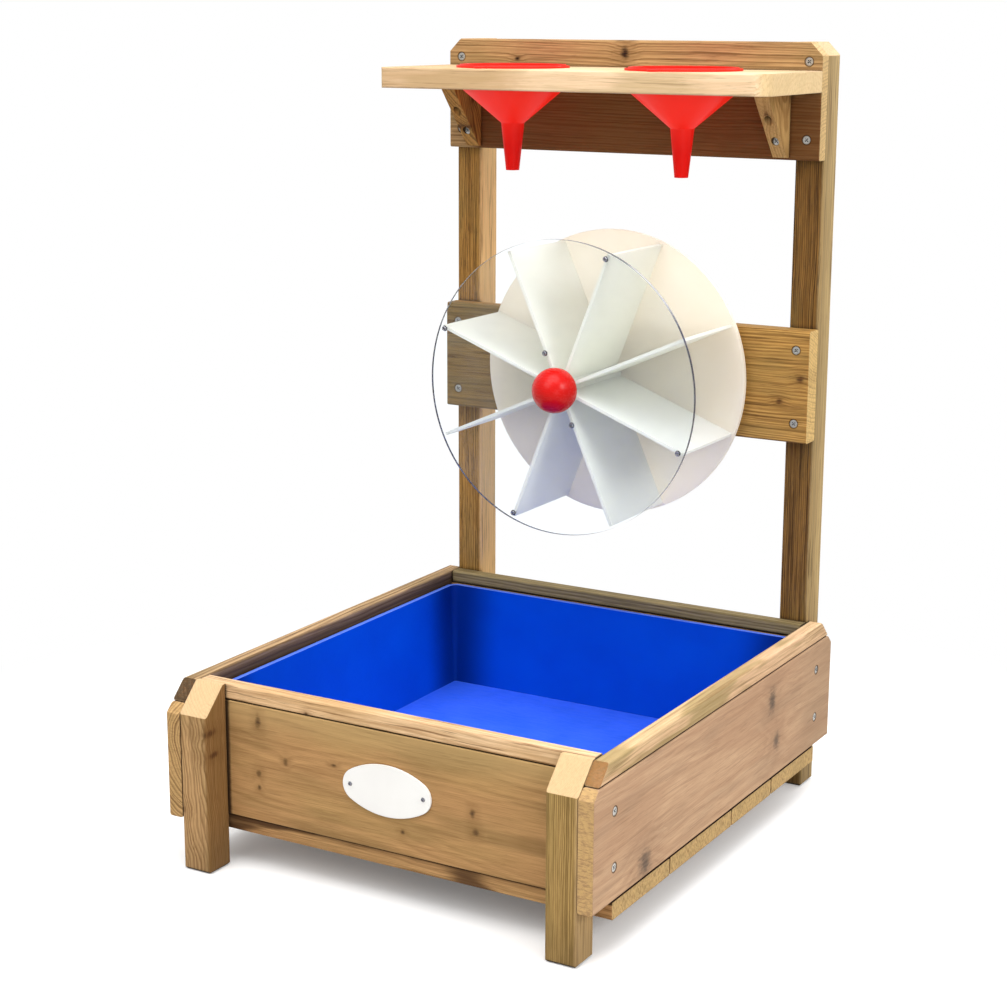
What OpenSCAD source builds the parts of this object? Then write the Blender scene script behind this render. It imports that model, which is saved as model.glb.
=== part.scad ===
// Sand wheel toy: a timber stand with a drop-in tub, a wheel that spins on a bolt
// and two funnels that hang in a shelf above the wheel.
// Millimetres. Front is -Y, up is +Z, the origin lies on the floor under the middle.

/* [Timber] */
// Clear width between the two side boards
inner_w = 420; // [405:1:440]
// Length of the side boards, front leg face to upright rear face
box_len = 528; // [515:1:545]
// Overall height to the top of the uprights
height = 762; // [755:1:780]
// Width and depth of the square posts
post = 31; // [29:0.5:33]
// Thickness of the box and back boards
board_t = 15; // [14:0.5:16]
// Height of the wide boards
board_h = 113; // [110:1:115]
// Height of the narrow rail at the front
rail_h = 15; // [14:0.5:17]
// Height of the narrow rail at the rear
rear_rail_h = 13; // [12:0.5:16]
// Height of the narrow rails on the side boards
side_rail_h = 17.4; // [15:0.2:19]
// Open joint at each end of the front and rear rails
rail_end_gap = 1.6; // [0.6:0.1:2.4]
// Dark joint between a rail and the board below it
rail_gap = 0.8; // [0.4:0.1:1.5]
// Underside of the box boards above the floor
box_z = 51; // [45:1:56]
// Radius of the eased long edges
ease = 2.2; // [1:0.1:3]
// Radius of the eased edges of the panels and floor slats
board_ease = 1.2; // [0.8:0.1:2]
// Bevel round the foot of each post
foot_bevel = 2.5; // [1:0.5:4]
// Slope cut on the box and rail corners
box_chamfer = 27; // [22:0.5:28]
// Slope cut on top of the front legs
leg_slope = 26; // [20:0.5:27]
// Corner cut on top of the uprights and the back board
top_chamfer = 13; // [8:0.5:16]

/* [Floor] */
// Thickness of the floor slats
slat_t = 16; // [14:0.5:18]
// Front edge of the first slat behind the front leg face
slat_start = 36; // [34:0.5:40]
// Rear edge of the last slat before the rear face of the uprights
slat_end = 39.2; // [34:0.2:46]
// Width of the first slat, in proportion to the others
slat_w1 = 112; // [100:1:124]
// Width of the second slat, in proportion to the others
slat_w2 = 133; // [120:1:146]
// Width of the third slat, in proportion to the others
slat_w3 = 94; // [84:1:104]
// Width of the fourth slat, in proportion to the others
slat_w4 = 109; // [98:1:120]
// Dark joint between the slats and the boards above them
floor_gap = 0.8; // [0.2:0.1:0.9]
// Open joint between two slats
slat_gap = 1.6; // [1:0.1:2]

/* [Upper boards] */
// Thickness of the board that carries the wheel
wheel_board_t = 22; // [20:0.5:24]
// Height of the wheel axis above the floor
axis_z = 426.5; // [415:0.5:435]
// Depth of the shelf
shelf_d = 134; // [130:1:140]
// Thickness of the shelf
shelf_t = 20.5; // [18:0.5:22]
// Top of the shelf below the top of the uprights
shelf_drop = 27; // [25:0.5:29]
// Radius of the shelf's eased long edges
shelf_ease = 1.4; // [0.8:0.2:3]
// Radius of the shelf's right front corner
shelf_r = 16; // [10:1:20]
// Radius of the shelf's left front corner
shelf_r_left = 3; // [2:0.5:8]
// Depth of a bracket under the shelf
bracket_d = 55; // [52:1:58]
// Height of a bracket below the shelf
bracket_h = 63; // [61:0.5:64]
// Thickness of a bracket
bracket_t = 15; // [14:0.5:17]
// Flat left at the lower end of a bracket
bracket_toe = 5; // [4:0.5:7]
// Left bracket, middle from the left end of the back board
bracket_in_l = 31; // [25:1:40]
// Right bracket, middle from the right end of the back board
bracket_in_r = 39; // [25:1:44]

/* [Wheel] */
// Radius of both discs
disc_r = 147.5; // [146:0.5:150]
// Thickness of the clear front disc
front_disc_t = 4; // [3:0.5:5]
// Thickness of the rear disc
rear_disc_t = 5; // [4:0.5:6]
// Inside depth between the discs
drum_d = 114; // [104:1:118]
// Thickness of a vane
vane_t = 3.2; // [3:0.1:3.6]
// Outer end of a vane from the axis
vane_r = 145; // [143.5:0.5:145.5]
// Turn of the first vane at rest
vane_turn = 24; // [18:0.5:28]
// Radius of the hub
hub_r = 10; // [9.5:0.1:11]
// Depth of the vane slots in the hub
slot_d = 2.5; // [2:0.1:2.8]
// Clearance of a vane in its slot, each side
slot_clear = 0.1; // [0.05:0.05:0.2]
// Outer screws from the axis
screw_r_out = 141; // [139:0.5:141.5]
// Inner screws from the axis
screw_r_in = 38; // [34:1:42]

/* [Axle] */
// Diameter of the axle bolt
axle_d = 6; // [5.5:0.1:6.4]
// Running clearance of the bushes on the axle, radial
run_clear = 0.05; // [0.03:0.01:0.08]
// Outer radius of a bush
bush_r = 5; // [4.5:0.1:5.4]
// Radius of a bush flange
bush_flange_r = 7; // [6.5:0.1:7.5]
// How far a bush flange stands out of its disc
bush_proud = 0.4; // [0.2:0.1:0.6]
// Running gap at each end of the wheel
end_gap = 0.4; // [0.3:0.1:0.6]
// Thickness of an axle washer
washer_t = 1.6; // [1.2:0.1:2]
// Outer radius of an axle washer
washer_r = 6.4; // [6.2:0.1:8]
// Thickness of the axle nut
nut_t = 6.5; // [6:0.1:7.5]
// Width across the flats of nut and bolt head
hex_af = 10; // [9.5:0.1:10.6]
// Thickness of the bolt head
bolt_head_t = 4; // [3.8:0.1:5]
// Radius of the ball knob
ball_r = 22.5; // [21:0.5:24]
// Centre of the ball in front of its flat back
ball_back = 7; // [5:0.5:12]

/* [Funnels] */
// Middle of each funnel from its end of the shelf
funnel_in = 115.4; // [112:0.2:118]
// Radius of the funnel rim
rim_r = 57; // [55.5:0.5:58]
// Thickness of the funnel rim
rim_t = 2; // [1.6:0.1:2.4]
// Height of the edge that stands up on the rim
rim_up = 1.2; // [0.8:0.2:3]
// How far that edge stands outside the collar
rim_roll = 1.4; // [0.8:0.1:2]
// Radius of the collar inside the shelf hole
collar_r = 52; // [50:0.5:53]
// Height of the collar
collar_h = 21; // [20:0.5:24]
// Height of the cone
cone_h = 34; // [30:0.5:38]
// Length of the spout
spout_h = 47; // [42:0.5:50]
// Outer radius at the top of the spout
neck_r = 11.8; // [11:0.1:12.5]
// Outer radius at the end of the spout
spout_r = 6.8; // [6.4:0.1:7.5]
// Wall of the funnel
funnel_wall = 1.6; // [1.4:0.1:1.8]
// Gap round the collar in the shelf hole
hole_gap = 0.6; // [0.4:0.1:0.9]
// Direction of the hanging tab
tab_turn = -93; // [-110:1:-80]
// Width of the hanging tab
tab_w = 12; // [10:0.5:14]
// Length of the hanging tab beyond the rim
tab_l = 9; // [7:0.5:10]

/* [Tub] */
// Rim of the tub from the side boards and panels
tub_gap = 2; // [1:0.5:4]
// Width of the rim lip beyond the wall
lip_w = 2.5; // [2:0.5:4]
// Thickness of the rim lip
lip_t = 3; // [2.4:0.2:4]
// Draught of the tub walls, top to bottom
tub_draft = 4; // [2:0.5:6]
// Corner radius at the top of the tub wall
tub_r = 10; // [9:1:16]
// Wall of the tub
tub_wall = 2.4; // [2:0.2:3]
// Thickness of the tub floor
tub_floor = 5; // [4:0.2:5.6]
// Height of the tub
tub_h = 116; // [108:1:117]

/* [Plate] */
// Length of the blank oval plate
plate_w = 94; // [90:1:98]
// Height of the blank oval plate
plate_h = 48.6; // [46:0.2:52]
// End radius of the oval
plate_r = 16; // [15:0.5:18]
// Thickness of the plate
plate_t = 2; // [1.5:0.1:3]
// Centre of the plate above the underside of the panel
plate_z = 58; // [54:1:60]

/* [Fixings] */
// Diameter of a wood screw
screw_d = 4; // [3.6:0.1:4.4]
// Diameter of a wood screw head
head_d = 8; // [7.5:0.1:8.6]
// Depth of the heads below the surface
head_sink = 0.3; // [0.2:0.05:0.6]
// Clearance round every fixing, radial
fix_clear = 0.1; // [0.05:0.05:0.15]
// Diameter of a disc screw
disc_screw_d = 1.8; // [1.6:0.1:2]
// Diameter of a disc screw head
disc_head_d = 6; // [5.4:0.1:6.6]
// Length of a disc screw under its head
disc_screw_l = 16; // [14:0.5:18]
// Diameter of a rail dowel
dowel_d = 6; // [5:0.5:7]
// Length of a rail dowel
dowel_l = 20; // [16:1:22]

/* [Hidden] */
$fn = 48;
rest_gap = 0.05;
x_in = inner_w / 2;
x_out = x_in + board_t;
y_front = -box_len / 2;
y_rear = box_len / 2;
y_panel = y_front + post;
y_panel_in = y_panel + board_t;
y_up = y_rear - post;
y_rear_in = y_up - board_t;
y_back = y_up - board_t;
y_wheel_board = y_up - wheel_board_t;
box_top = box_z + board_h;
rail_z = box_top + rail_gap;
rail_top = rail_z + rail_h;
side_rail_z = rail_top - side_rail_h;
side_top = side_rail_z - rail_gap;
rear_rail_z = rail_top - rear_rail_h;
rear_top = rear_rail_z - rail_gap;
post_x = x_in - post / 2;
wheel_board_z = axis_z - board_h / 2;
back_z = height - board_h;
shelf_z = height - shelf_drop - shelf_t;
shelf_top = shelf_z + shelf_t;
shelf_y = y_back - shelf_d / 2;
bracket_z = shelf_z - bracket_h;
bracket_xl = x_in - bracket_in_l;
bracket_xr = x_in - bracket_in_r;
funnel_x = x_in - funnel_in;
slat_top = box_z - floor_gap;
slat_z = slat_top - slat_t;
floor_l = box_len - slat_start - slat_end - 3 * slat_gap;
slat_k = floor_l / (slat_w1 + slat_w2 + slat_w3 + slat_w4);
slat_y1 = y_front + slat_start;
slat_y2 = slat_y1 + slat_w1 * slat_k + slat_gap;
slat_y3 = slat_y2 + slat_w2 * slat_k + slat_gap;
slat_y4 = slat_y3 + slat_w3 * slat_k + slat_gap;
axle_r = axle_d / 2;
y_nut = y_wheel_board - washer_t - nut_t;
y_flange_r = y_nut - end_gap;
y_rear_disc = y_flange_r - bush_proud;
y_drum_r = y_rear_disc - rear_disc_t;
y_drum_f = y_drum_r - drum_d;
y_front_disc = y_drum_f - front_disc_t;
y_flange_f = y_front_disc - bush_proud;
y_ball_back = y_flange_f - end_gap;
y_ball = y_ball_back - ball_back;
axle_in_ball = 13;
tab_eye = rim_r + tab_l - tab_w / 2;
tab_eye_r = 2;
arc_n = 32;
tab_start = rim_r - 3;
axle_end = y_ball - axle_in_ball;
bush_space = 20;
slot_r = hub_r - slot_d;
tub_z = slat_top + rest_gap;
tub_top = tub_z + tub_h;
tub_x = x_in - tub_gap - lip_w;
tub_y = (y_rear_in - y_panel_in) / 2 - tub_gap - lip_w;
side_len = 40;
back_len = 40;
wheel_board_len = 45;
slat_len = 40;
panel_len = 35;
shelf_len = 45;
bracket_low_len = 25;
bracket_high_len = 30;
counterbore_h = 40;
bracket_nose = 4;
tip_l = 3;
tip_r = 0.4;
recess_l = 4.4;
recess_w = 1;
recess_d = 1.2;
pin_d = 2;
pin_head_d = 4.4;
pin_head_t = 1.1;
pin_bevel = 0.7;
pin_l = 11;
pin_edge = 8;
disc_head_t = 2;
disc_head_bevel = 0.8;
disc_recess_l = 3.2;
disc_recess_w = 0.8;
side_screw_low = 31;
side_screw_high = 31;
panel_screw_edge = 13;
back_screw_x = 14;
back_screw_edge = 18.5;
back_screw_low = 20;
wheel_screw_rise = board_h * 37 / 113;
shelf_screw_x = inner_w * 150 / 420;
bracket_low_rise = 16.5;
bracket_low_depth = 15.5;
bracket_high_depth = 36;
bracket_high_drop = 20;
dowel_x = inner_w * 2 / 7;
dowel_y = box_len * 3 / 11;
cut_over = 1;

// Places of the fixings, shared by the screws and the holes they sit in.
function two_each(a, b) = [for (i = a) for (j = b) [i, j]];
y_front_mid = (y_panel + y_panel_in) / 2;
y_rear_mid = (y_rear_in + y_up) / 2;
x_side_mid = x_in + board_t / 2;
side_yz = two_each([y_front_mid, y_rear_mid], [box_z + side_screw_low, box_top - side_screw_high]);
panel_xz = two_each([-post_x, post_x], [box_z + panel_screw_edge, box_top - panel_screw_edge]);
back_x = x_in - back_screw_x;
back_xz = two_each([-back_x, back_x], [back_z + back_screw_low, height - back_screw_edge]);
wheel_board_xz = two_each([-back_x, back_x], [axis_z - wheel_screw_rise, axis_z + wheel_screw_rise]);
shelf_x = [-shelf_screw_x, 0, shelf_screw_x];
slat_rows = [
  [slat_y1, slat_w1 * slat_k], [slat_y2, slat_w2 * slat_k],
  [slat_y3, slat_w3 * slat_k], [slat_y4, slat_w4 * slat_k]
];
bracket_xs = [-bracket_xl, bracket_xr];
bracket_low_z = bracket_z + bracket_low_rise;
bracket_low_y = y_back - bracket_low_depth;
bracket_high_y = y_back - bracket_high_depth;
bracket_high_z = shelf_z - bracket_high_drop;
dowel_lower = dowel_l / 2;
dowel_xyz = concat(
  [for (sx = [-1, 1]) [sx * dowel_x, y_front_mid, box_top]],
  [for (sx = [-1, 1]) [sx * dowel_x, y_rear_mid, rear_top]],
  [for (p = two_each([-x_side_mid, x_side_mid], [-dowel_y, dowel_y])) [p[0], p[1], side_top]]
);
outer_vanes = [2, 4, 6, 8];
inner_vanes = [3, 7];
function vane_angle(i) = vane_turn + 45 * (i - 1);

// Flat rectangle with eased corners, lower left corner at the origin.
module eased_rect(w, h, r) {
  translate([r, 0]) square([w - 2 * r, h]);
  translate([0, r]) square([w, h - 2 * r]);
  for (x = [r, w - r], y = [r, h - r]) translate([x, y]) circle(r, $fn = 24);
}

// Board along X: length, depth (Y) and height (Z), with its long edges eased.
module board_x(len, d, h, r = ease) {
  rotate([90, 0, 90]) linear_extrude(len) eased_rect(d, h, r);
}

// Board along Y: width (X), length and height (Z), with its long edges eased.
module board_y(w, len, h, r = ease) {
  translate([0, len, 0]) rotate([90, 0, 0]) linear_extrude(len) eased_rect(w, h, r);
}

// Upright post with eased edges and a bevelled foot.
module column(w, d, h, r = ease) {
  intersection() {
    linear_extrude(h) eased_rect(w, d, r);
    translate([-cut_over, 0, 0]) rotate([90, 0, 90]) linear_extrude(w + 2 * cut_over) foot_outline(d, h);
    translate([0, d + cut_over, 0]) rotate([90, 0, 0]) linear_extrude(d + 2 * cut_over) foot_outline(w, h);
  }
}
module foot_outline(w, h) {
  b = foot_bevel;
  c = cut_over;
  polygon([[b, 0], [w - b, 0], [w + c, b + c], [w + c, h + c], [-c, h + c], [-c, b + c]]);
}

// Turns a fixing that points down (-Z) so that it points along the named way.
module aim(way) {
  turn = way == "+y" ? [90, 0, 0] : way == "-y" ? [-90, 0, 0]
    : way == "-x" ? [0, 90, 0] : way == "+x" ? [0, -90, 0] : [180, 0, 0];
  rotate(turn) children();
}

// Countersunk wood screw pointing down, its surface at z = 0.
module wood_screw(len) {
  cone = (head_d - screw_d) / 2;
  difference() {
    translate([0, 0, -head_sink]) rotate_extrude() polygon([
      [0, 0], [head_d / 2, 0], [screw_d / 2, -cone], [screw_d / 2, tip_l - len], [tip_r, -len], [0, -len]
    ]);
    for (a = [45, 135]) translate([0, 0, -head_sink]) rotate(a)
      cube([recess_l, recess_w, 2 * recess_d], center = true);
  }
}

// Room for that screw, open above the surface.
module wood_screw_hole(len, open = cut_over) {
  cone = (head_d - screw_d) / 2;
  c = fix_clear;
  translate([0, 0, -head_sink]) rotate_extrude() polygon([
    [0, head_sink + open], [head_d / 2 + c, head_sink + open], [head_d / 2 + c, -c],
    [screw_d / 2 + c, -cone - c], [screw_d / 2 + c, -len - c], [0, -len - c]
  ]);
}

// Pan head screw pointing down, its head on z = 0.
module disc_screw() {
  difference() {
    rotate_extrude() polygon([
      [0, disc_head_t], [disc_head_d / 2 - disc_head_bevel, disc_head_t], [disc_head_d / 2, 0],
      [disc_screw_d / 2, 0], [disc_screw_d / 2, -disc_screw_l], [0, -disc_screw_l]
    ]);
    for (a = [0, 90]) translate([0, 0, disc_head_t]) rotate(a)
      cube([disc_recess_l, disc_recess_w, disc_head_t], center = true);
  }
}

module disc_screw_hole() {
  translate([0, 0, -disc_screw_l - fix_clear])
    cylinder(h = disc_screw_l + 2 * front_disc_t, r = disc_screw_d / 2 + fix_clear);
}

module place_side(sx) {
  for (p = side_yz) translate([sx * x_out, p[0], p[1]]) aim(sx > 0 ? "-x" : "+x") children();
}
module place_leg_screws() {
  for (p = panel_xz) translate([p[0], y_panel_in, p[1]]) aim("-y") children();
}
module place_upright_screws() {
  for (p = panel_xz) translate([p[0], y_rear_in, p[1]]) aim("+y") children();
}
module place_back() {
  for (p = back_xz) translate([p[0], y_back, p[1]]) aim("+y") children();
}
module place_wheel_board() {
  for (p = wheel_board_xz) translate([p[0], y_wheel_board, p[1]]) aim("+y") children();
}
module place_shelf_screws() {
  for (x = shelf_x) translate([x, y_up, shelf_z + shelf_t / 2]) aim("-y") children();
}
module place_slats() {
  for (sx = [-1, 1], s = slat_rows, f = [0.2, 0.8])
    translate([sx * x_side_mid, s[0] + s[1] * f, slat_z]) aim("+z") children();
}
module place_bracket_low() {
  for (x = bracket_xs) translate([x, bracket_low_y, bracket_low_z]) aim("+y") children();
}
module place_bracket_high() {
  for (x = bracket_xs) translate([x, bracket_high_y, bracket_high_z]) aim("+z") children();
}
module place_front_disc() {
  for (i = outer_vanes) on_vane(i, screw_r_out, y_front_disc) aim("+y") children();
  for (i = inner_vanes) on_vane(i, screw_r_in, y_front_disc) aim("+y") children();
}
module place_rear_disc() {
  for (i = outer_vanes) on_vane(i, screw_r_out, y_rear_disc) aim("-y") children();
  for (i = inner_vanes) on_vane(i, screw_r_in, y_rear_disc) aim("-y") children();
}
module on_vane(i, r, y) {
  translate([r * cos(vane_angle(i)), y, axis_z + r * sin(vane_angle(i))]) children();
}
module rail_dowel_holes() {
  for (p = dowel_xyz) translate([p[0], p[1], p[2] - dowel_lower - fix_clear])
    cylinder(h = dowel_l + 2 * fix_clear, r = dowel_d / 2 + fix_clear, $fn = 32);
}
// A bar along +Y on the wheel axis, from y0 to y1.
module axis_bar(y0, y1, r, fn = 48) {
  translate([0, y1, axis_z]) rotate([90, 0, 0]) cylinder(h = y1 - y0, r = r, $fn = fn);
}

// Timber stand

module leg(x0) {
  intersection() {
    translate([x0, y_front, 0]) column(post, post, rail_top);
    translate([x0, 0, 0]) rotate([90, 0, 90]) linear_extrude(post) polygon([
      [y_front, 0], [y_panel, 0], [y_panel, rail_top],
      [y_front + leg_slope, rail_top], [y_front, rail_top - leg_slope]
    ]);
  }
}
module front_left_leg() {
  color("tan") difference() {
    leg(-x_in);
    place_leg_screws() wood_screw_hole(panel_len);
  }
}
module front_right_leg() {
  color("tan") difference() {
    leg(x_in - post);
    place_leg_screws() wood_screw_hole(panel_len);
  }
}

// Outline of the uprights and the back board: square below, outer top corners cut.
module top_cut_outline(x0, x1, z0, left, right) {
  polygon([
    [x0, z0], [x1, z0],
    [x1, right ? height - top_chamfer : height], [right ? x1 - top_chamfer : x1, height],
    [left ? x0 + top_chamfer : x0, height], [x0, left ? height - top_chamfer : height]
  ]);
}
module upright(x0, left) {
  difference() {
    intersection() {
      translate([x0, y_up, 0]) column(post, post, height);
      translate([0, y_rear, 0]) rotate([90, 0, 0]) linear_extrude(post)
        top_cut_outline(x0, x0 + post, 0, left, !left);
    }
    place_upright_screws() wood_screw_hole(panel_len);
    place_back() wood_screw_hole(back_len);
    place_wheel_board() wood_screw_hole(wheel_board_len);
  }
}
module left_upright() { color("tan") upright(-x_in, true); }
module right_upright() { color("tan") upright(x_in - post, false); }

module panel(y, top) {
  difference() {
    translate([-x_in, y, box_z]) board_x(inner_w, board_t, top - box_z, board_ease);
    for (sx = [-1, 1]) place_side(sx) wood_screw_hole(side_len);
    rail_dowel_holes();
  }
}
module front_panel() {
  color("burlywood") difference() {
    panel(y_panel, box_top);
    place_leg_screws() wood_screw_hole(panel_len);
    place_pins() pin_hole();
  }
}
module rear_panel() {
  color("burlywood") difference() {
    panel(y_rear_in, rear_top);
    place_upright_screws() wood_screw_hole(panel_len);
  }
}

// Side view of the box: both upper corners cut, through board and rail alike.
module side_outline(z0, z1) {
  intersection() {
    translate([y_front, z0]) square([box_len, z1 - z0]);
    polygon([
      [y_front, 0], [y_rear, 0], [y_rear, rail_top - box_chamfer],
      [y_rear - box_chamfer, rail_top], [y_front + box_chamfer, rail_top],
      [y_front, rail_top - box_chamfer]
    ]);
  }
}
module side_piece(x0, z0, h) {
  intersection() {
    translate([x0, y_front, z0]) board_y(board_t, box_len, h);
    translate([x0, 0, 0]) rotate([90, 0, 90]) linear_extrude(board_t) side_outline(z0, z0 + h);
  }
}
module side_board(sx) {
  difference() {
    side_piece(sx > 0 ? x_in : -x_out, box_z, side_top - box_z);
    place_side(sx) wood_screw_hole(side_len);
    place_slats() wood_screw_hole(slat_len);
    rail_dowel_holes();
  }
}
module left_side_board() { color("burlywood") side_board(-1); }
module right_side_board() { color("burlywood") side_board(1); }
module left_side_rail() {
  color("tan") difference() {
    side_piece(-x_out, side_rail_z, side_rail_h);
    rail_dowel_holes();
  }
}
module right_side_rail() {
  color("tan") difference() {
    side_piece(x_in, side_rail_z, side_rail_h);
    rail_dowel_holes();
  }
}
module cross_rail(y, h) {
  difference() {
    translate([-x_in + rail_end_gap, y, rail_top - h]) board_x(inner_w - 2 * rail_end_gap, board_t, h);
    rail_dowel_holes();
  }
}
module front_rail() { color("tan") cross_rail(y_panel, rail_h); }
module rear_rail() { color("tan") cross_rail(y_rear_in, rear_rail_h); }

module slat(i) {
  s = slat_rows[i];
  difference() {
    translate([-x_out, s[0], slat_z]) board_x(2 * x_out, s[1], slat_t, board_ease);
    place_slats() wood_screw_hole(slat_len);
  }
}
module floor_slat_1() { color("burlywood") slat(0); }
module floor_slat_2() { color("burlywood") slat(1); }
module floor_slat_3() { color("burlywood") slat(2); }
module floor_slat_4() { color("burlywood") slat(3); }

module back_board() {
  color("peru") difference() {
    intersection() {
      translate([-x_in, y_back, back_z]) board_x(inner_w, board_t, board_h);
      translate([0, y_up, 0]) rotate([90, 0, 0]) linear_extrude(board_t)
        top_cut_outline(-x_in, x_in, back_z, true, true);
    }
    place_back() wood_screw_hole(back_len);
    place_shelf_screws() wood_screw_hole(shelf_len);
    place_bracket_low() wood_screw_hole(bracket_low_len);
  }
}
module wheel_board() {
  color("peru") difference() {
    translate([-x_in, y_wheel_board, wheel_board_z]) board_x(inner_w, wheel_board_t, board_h);
    place_wheel_board() wood_screw_hole(wheel_board_len);
    axis_bar(y_wheel_board - cut_over, y_up + cut_over, axle_r + fix_clear);
  }
}
// Shelf from above, its left front corner at the origin.
module shelf_outline() {
  l = shelf_r_left;
  r = shelf_r;
  translate([0, l]) square([inner_w - r, shelf_d - l]);
  translate([l, 0]) square([inner_w - l - r, shelf_d]);
  translate([l, r]) square([inner_w - l, shelf_d - r]);
  translate([l, l]) circle(l);
  translate([inner_w - r, r]) circle(r);
}
module shelf() {
  color("wheat") difference() {
    intersection() {
      translate([-x_in, y_back - shelf_d, shelf_z]) board_x(inner_w, shelf_d, shelf_t, shelf_ease);
      translate([-x_in, y_back - shelf_d, shelf_z]) linear_extrude(shelf_t) shelf_outline();
    }
    for (sx = [-1, 1]) translate([sx * funnel_x, shelf_y, shelf_z - cut_over])
      cylinder(h = shelf_t + 2 * cut_over, r = collar_r + hole_gap, $fn = 96);
    place_shelf_screws() wood_screw_hole(shelf_len);
    place_bracket_high() wood_screw_hole(bracket_high_len);
  }
}
module bracket(x) {
  difference() {
    translate([x - bracket_t / 2, 0, 0]) rotate([90, 0, 90]) linear_extrude(bracket_t) polygon([
      [y_back, bracket_z], [y_back, shelf_z], [y_back - bracket_d, shelf_z],
      [y_back - bracket_d, shelf_z - bracket_nose], [y_back - bracket_toe, bracket_z]
    ]);
    place_bracket_low() wood_screw_hole(bracket_low_len, counterbore_h);
    place_bracket_high() wood_screw_hole(bracket_high_len, counterbore_h);
  }
}
module left_bracket() { color("tan") bracket(-bracket_xl); }
module right_bracket() { color("tan") bracket(bracket_xr); }

// Blank plate: two end arcs joined by two flat arcs.
module place_pins() {
  for (sx = [-1, 1]) translate([sx * (plate_w / 2 - pin_edge), y_panel - plate_t, box_z + plate_z])
    aim("+y") children();
}
module pin_hole() {
  translate([0, 0, -pin_l - fix_clear])
    cylinder(h = pin_l + fix_clear + cut_over, r = pin_d / 2 + fix_clear, $fn = 24);
}
function arc(x, y, r, from, to) = [for (i = [0:arc_n - 1]) let (t = from + (to - from) * i / arc_n)
  [x + r * cos(t), y + r * sin(t)]];
module oval() {
  a = plate_w / 2 - plate_r;
  b = plate_h / 2;
  big = (a * a + b * b - plate_r * plate_r) / (2 * (b - plate_r));
  lean = atan2(big - b, a);
  polygon(concat(
    arc(a, 0, plate_r, -lean, lean),
    arc(0, b - big, big, lean, 180 - lean),
    arc(-a, 0, plate_r, 180 - lean, 180 + lean),
    arc(0, big - b, big, 180 + lean, 360 - lean)
  ));
}
module oval_plate() {
  color("white") difference() {
    translate([0, y_panel, box_z + plate_z]) rotate([90, 0, 0]) linear_extrude(plate_t) oval();
    place_pins() pin_hole();
  }
}
module plate_pins() {
  color("silver") place_pins() rotate_extrude($fn = 32) polygon([
    [0, pin_head_t], [pin_head_d / 2 - pin_bevel, pin_head_t], [pin_head_d / 2, 0],
    [pin_d / 2, 0], [pin_d / 2, -pin_l], [0, -pin_l]
  ]);
}
module rail_dowels() {
  color("wheat") for (p = dowel_xyz) translate([p[0], p[1], p[2] - dowel_lower])
    cylinder(h = dowel_l, r = dowel_d / 2, $fn = 32);
}
module side_board_screws() {
  color("silver") for (sx = [-1, 1]) place_side(sx) wood_screw(side_len);
}
module leg_screws() { color("silver") place_leg_screws() wood_screw(panel_len); }
module upright_screws() { color("silver") place_upright_screws() wood_screw(panel_len); }
module slat_screws() { color("silver") place_slats() wood_screw(slat_len); }
module back_board_screws() { color("silver") place_back() wood_screw(back_len); }
module wheel_board_screws() { color("silver") place_wheel_board() wood_screw(wheel_board_len); }
module shelf_screws() { color("silver") place_shelf_screws() wood_screw(shelf_len); }
module bracket_screws() {
  color("silver") {
    place_bracket_low() wood_screw(bracket_low_len);
    place_bracket_high() wood_screw(bracket_high_len);
  }
}

// Axle and ball

module axle_bolt() {
  color("silver") {
    axis_bar(axle_end, y_up + washer_t + bolt_head_t / 2, axle_r);
    axis_bar(y_up + washer_t, y_up + washer_t + bolt_head_t, hex_af / sqrt(3), 6);
  }
}
module axle_nut() {
  color("silver") difference() {
    axis_bar(y_nut, y_nut + nut_t, hex_af / sqrt(3), 6);
    axis_bar(y_nut - cut_over, y_nut + nut_t + cut_over, axle_r + fix_clear);
  }
}
module axle_washers() {
  color("silver") for (y = [y_wheel_board - washer_t, y_up]) difference() {
    axis_bar(y, y + washer_t, washer_r);
    axis_bar(y - cut_over, y + washer_t + cut_over, axle_r + fix_clear);
  }
}
module ball_knob() {
  half = ball_r + cut_over;
  color("red") difference() {
    translate([0, y_ball, axis_z]) sphere(ball_r, $fn = 64);
    translate([-half, y_ball_back, axis_z - half]) cube(2 * half);
    axis_bar(axle_end - 2 * fix_clear, y_ball_back + cut_over, axle_r + fix_clear);
  }
}

// Wheel

module front_disc() {
  color("lightcyan") difference() {
    axis_bar(y_front_disc, y_drum_f, disc_r, 160);
    axis_bar(y_front_disc - cut_over, y_drum_f + cut_over, bush_flange_r + fix_clear);
    place_front_disc() disc_screw_hole();
  }
}
module rear_disc() {
  color("antiquewhite") difference() {
    axis_bar(y_drum_r, y_rear_disc, disc_r, 160);
    axis_bar(y_drum_r - cut_over, y_rear_disc + cut_over, bush_flange_r + fix_clear);
    place_rear_disc() disc_screw_hole();
  }
}
module hub() {
  color("white") difference() {
    axis_bar(y_drum_f, y_drum_r, hub_r);
    axis_bar(y_drum_f - cut_over, y_drum_r + cut_over, bush_r + fix_clear);
    for (i = [1:8]) translate([0, y_drum_f - cut_over, axis_z]) rotate([0, -vane_angle(i), 0])
      translate([slot_r, 0, -vane_t / 2 - slot_clear])
        cube([slot_d + cut_over, drum_d + 2 * cut_over, vane_t + 2 * slot_clear]);
  }
}
module bush(y0, y1, f0, f1) {
  difference() {
    union() {
      axis_bar(y0, y1, bush_r);
      axis_bar(f0, f1, bush_flange_r);
    }
    axis_bar(min(y0, f0) - cut_over, max(y1, f1) + cut_over, axle_r + run_clear);
  }
}
module front_bush() {
  color("dimgray") bush(y_flange_f, y_drum_f + (drum_d - bush_space) / 2, y_flange_f, y_drum_f);
}
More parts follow.
